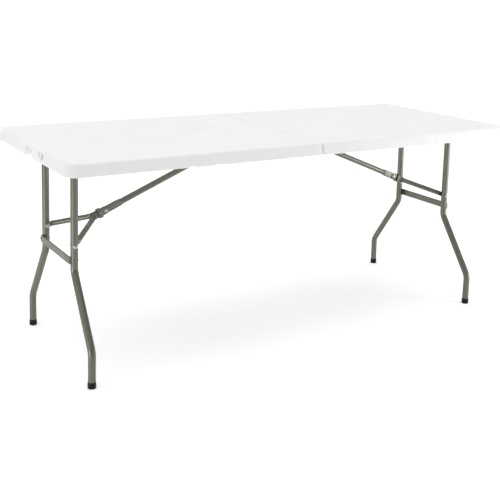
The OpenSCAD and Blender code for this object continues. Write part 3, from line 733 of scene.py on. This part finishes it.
ARM_D = 21 * MM
PADDLE_THICK = 8 * MM
PADDLE_HEIGHT = 26 * MM
PADDLE_TAIL = 28 * MM
PADDLE_START = 72 * MM
PADDLE_BLEND = 26 * MM
PADDLE_CORNER = 8 * MM
PADDLE_ROUND = 5.5
EYE_R = 8.5 * MM
EYE_HALF = 14.7 * MM
LINK_D = 18.5 * MM
LINK_PLATE = 3 * MM
KNEE_PLATE_END = 38 * MM
KNEE_BLEND = 23 * MM
TUBE_START_Y = 23 * MM
LEG_PLATE_START = 11 * MM
LEG_BLEND = 18 * MM
LEG_BLEND_Y = 13.5 * MM
PLATE_ROUND = 6
LINK_HEIGHT = 25 * MM
LINK_TIP = 18 * MM
KNEE_GAP = 0.3 * MM
NUT_GAP = 0.5 * MM
RING_LENGTH = 14 * MM
RING_WALL = 2.4 * MM
LINK_LENGTH = ((islands("left_link_nuts")[0][0] + islands("left_link_nuts")[0][1]) / 2
               - KNEE).dot(ARM_DIRECTION)


def round_end(distance, radius, height):
    """Height of a plate at a distance from its round tip."""
    if distance >= radius:
        return height
    return height - 2 * radius + 2 * math.sqrt(max(radius ** 2 - (radius - distance) ** 2, 0))


def upper_arm_shape(name):
    """A tube from its eye to a pressed-flat paddle with rounded corners."""
    bm = bmesh.new()
    stations = []
    for at, shrink in ((0, 5), (0.4, 2.4), (1.4, 0.8), (3, 0)):
        width = ARM_D - shrink * MM
        stations.append((at * MM, width, width, TUBE_ROUND))
    for i in range(13):
        t = i / 12
        stations.append((ARM_LENGTH - PADDLE_START + PADDLE_BLEND * t,
                         ARM_D + (PADDLE_THICK - ARM_D) * ease(t),
                         ARM_D + (PADDLE_HEIGHT - ARM_D) * ease(t),
                         TUBE_ROUND + (PADDLE_ROUND - TUBE_ROUND) * ease(t)))
    stations.append((ARM_LENGTH + 4 * MM, PADDLE_THICK, PADDLE_HEIGHT, PADDLE_ROUND))
    for i in range(7):
        left = PADDLE_CORNER * (1 - i / 6) ** 1.6
        stations.append((ARM_LENGTH + PADDLE_TAIL - left, PADDLE_THICK * (1 - 0.18 * (i / 6) ** 3),
                         round_end(left, PADDLE_CORNER, PADDLE_HEIGHT), PADDLE_ROUND))
    sweep(bm, [(ARM_PIVOT + ARM_DIRECTION * s, ARM_DIRECTION, thickness, height, roundness)
               for s, thickness, height, roundness in stations], ARM_UP)
    half = [(EYE_R, EYE_HALF - 0.5 * MM), (EYE_R - 0.4 * MM, EYE_HALF), (5 * MM, EYE_HALF)]
    eye = [(radius, -along) for radius, along in reversed(half)] + half
    lathe(bm, eye, Matrix.Translation(ARM_PIVOT) @ Matrix.Rotation(-math.pi / 2, 4, "X"))
    return to_object(name, bm, MATERIALS["powder_coat"], sharp=45)


def link_path(side):
    """Stations of one link from its knee plate to its leg plate, in the arm's own axes:
    (distance past the knee, y, thickness, height, roundness)."""
    inner = PADDLE_THICK / 2 + KNEE_GAP + LINK_PLATE / 2
    outer = LEG_UPPER_Y - LEG_TUBE_D / 2 - NUT_GAP - LINK_PLATE / 2
    start = Vector((KNEE_PLATE_END + KNEE_BLEND, TUBE_START_Y))
    finish = Vector((LINK_LENGTH - LEG_PLATE_START - LEG_BLEND, outer - LEG_BLEND_Y))
    knee_r = LINK_HEIGHT / 2
    tip_r = LINK_TIP / 2
    stations = []
    for i in range(7):
        back = knee_r * (1 - i / 6) ** 1.7
        stations.append((-back, inner, LINK_PLATE,
                         2 * math.sqrt(max(knee_r ** 2 - back ** 2, 1e-7)), PLATE_ROUND))
    for x in (20 * MM, KNEE_PLATE_END):
        stations.append((x, inner, LINK_PLATE, LINK_HEIGHT, PLATE_ROUND))
    for i in range(1, 9):
        t = i / 9
        stations.append((KNEE_PLATE_END + (start.x - KNEE_PLATE_END) * t,
                         inner + (start.y - inner) * t ** 1.9,
                         LINK_PLATE + (LINK_D - LINK_PLATE) * ease(t),
                         LINK_HEIGHT + (LINK_D - LINK_HEIGHT) * ease(t),
                         PLATE_ROUND + (TUBE_ROUND - PLATE_ROUND) * ease(t)))
    for t in (0, 0.05, 0.5, 0.95, 1):
        at = start.lerp(finish, t)
        stations.append((at.x, at.y, LINK_D, LINK_D, TUBE_ROUND))
    for i in range(1, 9):
        t = i / 9
        stations.append((finish.x + LEG_BLEND * t,
                         finish.y + (outer - finish.y) * (1 - (1 - t) ** 1.9),
                         LINK_D + (LINK_PLATE - LINK_D) * ease(t),
                         LINK_D + (LINK_TIP - LINK_D) * ease(t),
                         TUBE_ROUND + (PLATE_ROUND - TUBE_ROUND) * ease(t)))
    plate_start = LINK_LENGTH - LEG_PLATE_START + 3 * MM
    stations.append((plate_start, outer, LINK_PLATE, LINK_TIP, PLATE_ROUND))
    for i in range(7):
        left = tip_r * (1 - i / 6) ** 1.7
        stations.append((LINK_LENGTH + tip_r - left, outer, LINK_PLATE,
                         max(round_end(left, tip_r, LINK_TIP), 0.4 * MM), PLATE_ROUND))
    return [(x, side * y, *section) for x, y, *section in stations]


def link_shape(side):
    """One link of the Y brace: a tube with both ends pressed flat."""
    def build(name):
        bm = bmesh.new()
        stations = link_path(side)
        middles = [KNEE + ARM_DIRECTION * x + Y_AXIS * y for x, y, *_ in stations]
        placed = []
        for i, (_, _, *section) in enumerate(stations):
            before = middles[max(i - 1, 0)]
            after = middles[min(i + 1, len(middles) - 1)]
            placed.append((middles[i], (after - before).normalized(), *section))
        sweep(bm, placed, ARM_UP)
        return to_object(name, bm, MATERIALS["powder_coat"], sharp=50)
    return build


def lock_ring_shape(name):
    """A formed steel band: rounded corners, soft edges and a slightly crowned outer face."""
    bm = bmesh.new()
    low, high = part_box("left_lock_ring")
    middle = ARM_PIVOT + ARM_DIRECTION * ((low + high) / 2 - ARM_PIVOT).dot(ARM_DIRECTION)
    inner_w = ARM_D + 1.2 * MM
    inner_h = PADDLE_HEIGHT + 1.6 * MM
    profile = []
    for share, along in ((0, -0.90), (0, 0), (0, 0.90), (0.12, 0.97), (0.5, 1), (0.85, 0.96),
                         (0.97, 0.86), (1.0, 0.4), (1.0, -0.4), (0.97, -0.86), (0.85, -0.96),
                         (0.5, -1), (0.12, -0.97)):
        profile.append((share * RING_WALL, along * RING_LENGTH / 2))
    loops = []
    for grow, along in profile:
        section = ring_oval(inner_w + 2 * grow, inner_h + 2 * grow, roundness=6, count=56)
        loops.append([bm.verts.new(p) for p in place_ring(section, middle + ARM_DIRECTION * along,
                                                          Y_AXIS, ARM_UP)])
    count = len(loops[0])
    for k, loop in enumerate(loops):
        after = loops[(k + 1) % len(loops)]
        for i in range(count):
            j = (i + 1) % count
            bm.faces.new((loop[i], loop[j], after[j], after[i]))
    return to_object(name, bm, MATERIALS["powder_coat"])


# ---- hardware ----

def turned_from(point, direction):
    """Placing matrix with Z along a direction from a point."""
    return Matrix.Translation(point) @ direction.to_track_quat("Z", "Y").to_matrix().to_4x4()


def dome_profile(radius, rise, skirt=0.5 * MM):
    """A button head: short skirt, then a flattened dome."""
    points = [(radius - 0.35 * MM, 0), (radius, 0.2 * MM), (radius, skirt)]
    for i in range(1, 8):
        angle = math.pi / 2 * i / 7
        points.append((radius * math.cos(angle), skirt + (rise - skirt) * math.sin(angle)))
    return points


def carve_recess(piece, places, size, depth):
    """Cuts a cross recess into each head. A place has its Z pointing out of the head."""
    bm = bmesh.new()
    for place in places:
        rings = []
        for z, grow in ((-depth, 0.45), (0.4 * MM, 1.0)):
            arm = size * grow
            blade = arm * 0.2
            cross = [(blade, blade), (blade, arm), (-blade, arm)]
            corners = []
            for turn in range(4):
                spin = Matrix.Rotation(turn * math.pi / 2, 2)
                corners += [spin @ Vector(corner) for corner in cross]
            rings.append([place @ Vector((c.x, c.y, z)) for c in corners])
        loft(bm, rings)
    carve(piece, bm)


SCREW_R = 2 * MM
SCREW_RISE = 1.8 * MM


def screws_shape(node):
    """Pan-head screws with cross recesses, one for each solid of the CAD node."""
    def build(name):
        bm = bmesh.new()
        recesses = []
        for index, (low, high) in enumerate(islands(node)):
            middle = (low + high) / 2
            radius = (high.x - low.x) / 2
            seat = low.z + SCREW_RISE
            down = turned_from(Vector((middle.x, middle.y, seat)), -Z_AXIS)
            tip = seat - high.z
            shank = [(SCREW_R * 0.7, tip), (SCREW_R, tip + 0.6 * MM), (SCREW_R, 0)]
            lathe(bm, shank + dome_profile(radius, SCREW_RISE), down, count=28)
            recesses.append(down @ Matrix.Translation((0, 0, SCREW_RISE))
                            @ Matrix.Rotation(0.4 + 0.9 * index, 4, "Z"))
        piece = to_object(name, bm, MATERIALS["zinc_hardware"], sharp=30)
        carve_recess(piece, recesses, size=1.9 * MM, depth=1 * MM)
        piece.data.set_sharp_from_angle(angle=math.radians(30))
        return piece
    return build


BOLT_R = 4 * MM
WASHER = 1.4 * MM
NUT_WASHER = 1.2 * MM


def leg_bolts_shape(name):
    """Carriage bolts with a washer, through the legs at the ends of the links."""
    bm = bmesh.new()
    washer = [(5 * MM, 0), (8 * MM, 0), (8.2 * MM, 0.2 * MM), (8.2 * MM, WASHER - 0.2 * MM),
              (8 * MM, WASHER), (5 * MM, WASHER)]
    for low, high in islands("left_leg_bolts"):
        middle = (low + high) / 2
        side = math.copysign(1, middle.y)
        point = Vector((middle.x, side * (LEG_UPPER_Y + LEG_TUBE_D / 2), middle.z))
        out = turned_from(point, Y_AXIS * side)
        lathe(bm, washer, out)
        lathe(bm, dome_profile(7 * MM, 3.6 * MM), out @ Matrix.Translation((0, 0, WASHER)))
        lathe(bm, [(BOLT_R, -LEG_TUBE_D), (BOLT_R, 1 * MM)], out, count=24)
    return to_object(name, bm, MATERIALS["zinc_hardware"], sharp=35)


def link_nuts_shape(name):
    """Cap nuts inside the link ends: a washer, a chamfered hexagon and a dome."""
    bm = bmesh.new()
    washer = [(BOLT_R, 0), (7.8 * MM, 0), (7.8 * MM, NUT_WASHER - 0.2 * MM), (7.6 * MM, NUT_WASHER),
              (BOLT_R, NUT_WASHER)]
    hexagon = [(5.6 * MM, 0), (6.4 * MM, 0.5 * MM), (6.4 * MM, 2.4 * MM), (5.4 * MM, 2.9 * MM)]
    for low, high in islands("left_link_nuts"):
        middle = (low + high) / 2
        side = math.copysign(1, middle.y)
        seat = high.y if side > 0 else low.y
        inward = turned_from(Vector((middle.x, seat, middle.z)), Y_AXIS * -side)
        lathe(bm, washer, inward)
        lathe(bm, hexagon, inward @ Matrix.Translation((0, 0, NUT_WASHER)), count=6)
        lathe(bm, dome_profile(4.6 * MM, 2.4 * MM, 0.2 * MM),
              inward @ Matrix.Translation((0, 0, 2.6 * MM)), count=28)
    return to_object(name, bm, MATERIALS["zinc_hardware"], sharp=30)


def knee_rivet_shape(name):
    """The knee's rivet: a factory head and a set head, each with a small step."""
    bm = bmesh.new()
    reach = PADDLE_THICK / 2 + 2 * KNEE_GAP + LINK_PLATE
    lathe(bm, [(BOLT_R, -reach), (BOLT_R, reach)], turned_from(KNEE, Y_AXIS), count=28)
    for side in (-1, 1):
        seat = turned_from(KNEE + Y_AXIS * side * reach, Y_AXIS * side)
        lathe(bm, dome_profile(7 * MM, 2.4 * MM), seat)
    return to_object(name, bm, MATERIALS["zinc_hardware"], sharp=35)


RIVET_R = 3 * MM
RIVET_RISE = 1.2 * MM
RIVET_REACH = 9 * MM


def crossbar_rivets_shape(name):
    """Painted rivets through the crossbar's flattened ends."""
    bm = bmesh.new()
    outward = (LEG_PLACE.to_3x3() @ -X_AXIS).normalized()
    for low, high in islands("left_crossbar_rivets"):
        middle = (low + high) / 2
        for direction, corner in ((outward, low), (-outward, high)):
            point = Vector((corner.x, middle.y, middle.z)) - direction * RIVET_RISE
            point.z += (point.x - middle.x) * outward.z / outward.x
            head = dome_profile(RIVET_R * 1.5, RIVET_RISE, 0.3 * MM)
            lathe(bm, head, turned_from(point, direction), count=28)
        shank = [(RIVET_R, -RIVET_REACH), (RIVET_R, RIVET_REACH)]
        lathe(bm, shank, turned_from(middle, outward), count=16)
    return to_object(name, bm, MATERIALS["powder_coat"], sharp=35)


# ---- carry handle ----

GRIP_R = 5.15 * MM
STRAP_WIDTH = 16 * MM
STRAP_THICK = 3 * MM
HANDLE_PIN_R = 2 * MM


def carry_handle_shape(name):
    """A moulded bail handle: two waisted straps and a grip with shallow finger waves."""
    bm = bmesh.new()
    pivot = Vector(JOINTS["handle_swing"]["pos_m"])
    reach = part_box("carry_handle")[1].y - 5.5 * MM - pivot.y
    out = (HANDLE_SPACING + STRAP_WIDTH) / 2
    turn = Matrix.Rotation(math.pi / 2, 4, "Y")
    eye_half = [(3.8 * MM, 7.6 * MM), (3.5 * MM, 8 * MM), (HANDLE_PIN_R, 8 * MM)]
    eye = [(radius, -along) for radius, along in reversed(eye_half)] + eye_half
    for side in (-1, 1):
        hinge = pivot + X_AXIS * side * HANDLE_SPACING / 2
        stations = []
        for share in (0, 0.08, 0.25, 0.5, 0.75, 0.92, 1):
            width = STRAP_WIDTH - (0.4 + 2.2 * math.sin(math.pi * share)) * MM
            stations.append((hinge + Y_AXIS * reach * share, Y_AXIS, width, STRAP_THICK, 5))
        sweep(bm, stations, Z_AXIS)
        lathe(bm, eye, Matrix.Translation(hinge) @ turn, count=28)
        pin = turned_from(hinge, X_AXIS * side)
        lathe(bm, [(HANDLE_PIN_R, 0), (HANDLE_PIN_R, 15 * MM)], pin, count=20)
    grip_end = [(5.2 * MM, out - 1 * MM), (4.4 * MM, out), (0.5 * MM, out)]
    grip = [(radius, -along) for radius, along in reversed(grip_end)]
    for i in range(33):
        t = i / 32
        wave = 0.35 * MM * abs(math.sin(4 * math.pi * t))
        grip.append((GRIP_R - wave, (2 * t - 1) * (out - 3 * MM)))
    lathe(bm, grip + grip_end, Matrix.Translation(pivot + Y_AXIS * reach) @ turn, count=32)
    return to_object(name, bm, MATERIALS["dark_nylon"], sharp=40)


def build_steelwork():
    """All the pieces that are modelled more finely than their CAD nodes."""
    for side, leg in ((-1, "front"), (1, "rear")):
        on_both_halves(f"{leg}_leg", leg_shape(side))
        on_both_halves(f"{leg}_foot", foot_shape(side))
        on_both_halves(f"{leg}_link", link_shape(side))
    on_both_halves("crossbar", crossbar_shape)
    on_both_halves("crossbar_rivets", crossbar_rivets_shape)
    on_both_halves("upper_arm", upper_arm_shape)
    on_both_halves("lock_ring", lock_ring_shape)
    on_both_halves("leg_bolts", leg_bolts_shape)
    on_both_halves("link_nuts", link_nuts_shape)
    on_both_halves("knee_rivet", knee_rivet_shape)
    for group in ("rail_screws", "bracket_screws", "leaf_screws"):
        on_both_halves(group, screws_shape(f"left_{group}"))
    install(carry_handle_shape("carry_handle_shape"), "carry_handle")


build_steelwork()


# ---- CAD pieces that keep their shape ----

SOFT_EDGES = {
    "rail": 0.5 * MM,
    "brace_bracket": 0.6 * MM,
    "leaves": 0.4 * MM,
    "keeper": 0.4 * MM,
    "clips": 0.5 * MM,
    "hook": 0.4 * MM,
    "knob": 0.6 * MM,
    "cross_tube": 0.3 * MM,
    "pins": 0.4 * MM,
    "bushes": 0.3 * MM,
}


def finish_cad_nodes():
    """Every carried-over CAD node gets its slot's material, and plain edges are rounded."""
    for node, piece in frame["nodes"].items():
        piece.data.materials.clear()
        piece.data.materials.append(MATERIALS[SLOT_OF[node]])
        width = next((w for word, w in SOFT_EDGES.items() if word in node), None)
        if width is not None:
            soften(piece, width)


finish_cad_nodes()


# ---- floor, light and camera ----

FLOOR_GLOW = 0.25
FLOOR_HALF = 900
FLOOR_THICK = 0.02
FLOOR_COLOR = (0.88, 0.88, 0.88)
ROOM_BACK = 0.7
ROOM_FRONT = 0.12


def build_room():
    """A white room that is brighter behind the table than on the camera's side."""
    world = bpy.data.worlds.new("room")
    world.use_nodes = True
    coords = add_node(world, "ShaderNodeTexCoord")
    axes = add_node(world, "ShaderNodeSeparateXYZ")
    spread = add_node(world, "ShaderNodeMapRange", From_Min=-1, From_Max=1,
                      To_Min=ROOM_FRONT, To_Max=ROOM_BACK)
    background = world.node_tree.nodes["Background"]
    background.inputs["Color"].default_value = (1, 1, 1, 1)
    link(world, coords.outputs["Generated"], axes.inputs["Vector"])
    link(world, axes.outputs["Y"], spread.inputs["Value"])
    link(world, spread.outputs["Result"], background.inputs["Strength"])
    return world


def build_stage():
    """A white floor that fades into a white room."""
    bm = bmesh.new()
    add_box(bm, (-FLOOR_HALF, -FLOOR_HALF, -FLOOR_THICK), (FLOOR_HALF, FLOOR_HALF, 0))
    paper = new_material("white_floor", FLOOR_COLOR, 0.9)
    shader = paper.node_tree.nodes["Principled BSDF"]
    shader.inputs["Emission Color"].default_value = (1, 1, 1, 1)
    shader.inputs["Emission Strength"].default_value = FLOOR_GLOW
    add_bumps(paper, (object_noise(paper, 3, 2), 0.02, 0.002))
    floor = to_object("floor", bm, paper)
    bpy.context.scene.world = build_room()
    bpy.context.scene.view_settings.view_transform = "Standard"


def area_light(name, place, target, size, power, spread):
    """A square soft box with a grid, which keeps its beam narrow, pointed at a target."""
    light = bpy.data.lights.new(name, "AREA")
    light.size = size
    light.energy = power
    light.spread = math.radians(spread)
    lamp = bpy.data.objects.new(name, light)
    lamp.location = place
    lamp.rotation_euler = (Vector(target) - Vector(place)).to_track_quat("-Z", "Y").to_euler()
    bpy.context.scene.collection.objects.link(lamp)


def sun_light(name, direction, strength, spread):
    """An even, soft light over the whole floor, shining along a direction."""
    light = bpy.data.lights.new(name, "SUN")
    light.energy = strength
    light.angle = math.radians(spread)
    lamp = bpy.data.objects.new(name, light)
    lamp.rotation_euler = Vector(direction).to_track_quat("-Z", "Y").to_euler()
    bpy.context.scene.collection.objects.link(lamp)


def build_lights():
    """Even light from above, and a narrow soft box low on each side for the rims and legs."""
    sun_light("ceiling", (0.05, 0.04, -1), 2.2, 80)
    area_light("left_softbox", (-2.6, -0.6, 0.1), (-0.8, 0, 0.08), 0.8, 1.6, 34)
    area_light("right_softbox", (2.4, -1.8, 0.4), (0.8, -0.2, 0.4), 0.8, 4.0, 60)


CAMERA_PLACE = (-1.74259, -2.75191, 1.27745)
CAMERA_TURN = (32.25, 13.97, 1.63)
CAMERA_LENS = 62.21
CAMERA_SHIFT = (-0.024, -0.10)


def build_camera():
    """The photographer's view: low over the near left corner. The turn is yaw, pitch and roll."""
    camera_data = bpy.data.cameras.new("camera")
    camera_data.lens = CAMERA_LENS
    camera_data.sensor_width = 36
    camera_data.shift_x, camera_data.shift_y = CAMERA_SHIFT
    camera_data.clip_end = 2 * FLOOR_HALF
    camera = bpy.data.objects.new("camera", camera_data)
    yaw, pitch, roll = (math.radians(degrees) for degrees in CAMERA_TURN)
    camera.matrix_world = (Matrix.Translation(CAMERA_PLACE)
                           @ Matrix.Rotation(-yaw, 4, "Z")
                           @ Matrix.Rotation(math.pi / 2 - pitch, 4, "X")
                           @ Matrix.Rotation(roll, 4, "Z"))
    bpy.context.scene.collection.objects.link(camera)
    bpy.context.scene.camera = camera


build_stage()
build_lights()
build_camera()
